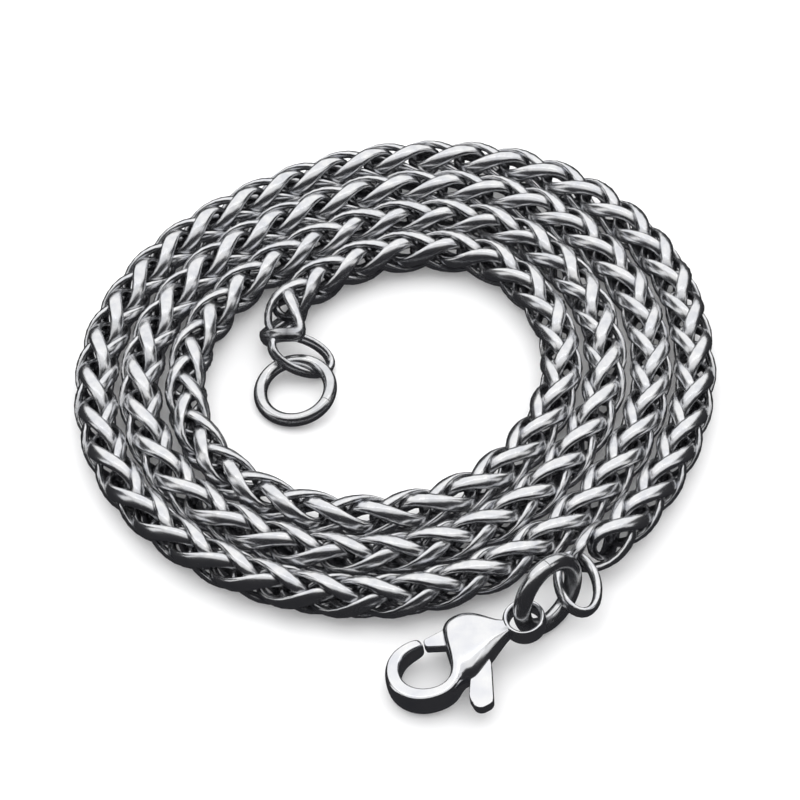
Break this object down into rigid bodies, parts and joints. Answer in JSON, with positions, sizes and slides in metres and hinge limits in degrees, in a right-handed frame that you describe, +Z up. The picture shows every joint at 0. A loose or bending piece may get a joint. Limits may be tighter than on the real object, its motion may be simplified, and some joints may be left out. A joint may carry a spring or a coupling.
{
  "type": "wheat chain necklace",
  "caption": "Polished steel wheat chain necklace lying unclasped in a flat inward spiral, with a lobster clasp on a jump ring at one end and a plain jump ring at the other.",
  "frame": {"origin": "On the floor, under the middle of the footprint of the chain as it lies.", "axes": "+Z is up from the floor that the chain lies on, +X is to the right and +Y away as the picture shows it, with the clasp at the near side."},
  "size_m": [0.0615, 0.0692, 0.008],
  "materials": {
    "polished_steel": "mirror polished stainless steel"
  },
  "bodies": {
    "necklace": {"chain": "polished_steel", "clasp_ring": "polished_steel", "clasp_body": "polished_steel", "clasp_pin": "polished_steel", "end_ring": "polished_steel"},
    "lever": {"clasp_lever": "polished_steel"}
  },
  "joints": [
    {"name": "lever_swing", "type": "hinge", "parent": "necklace", "child": "lever", "pos_m": [0.00599, -0.02724, 0.00241], "axis": [-0.1142, -0.0595, 0.9917], "range_deg": [0, 22], "stiffness_Nm_per_rad": 0.004, "springref_deg": -11.46}
  ]
}
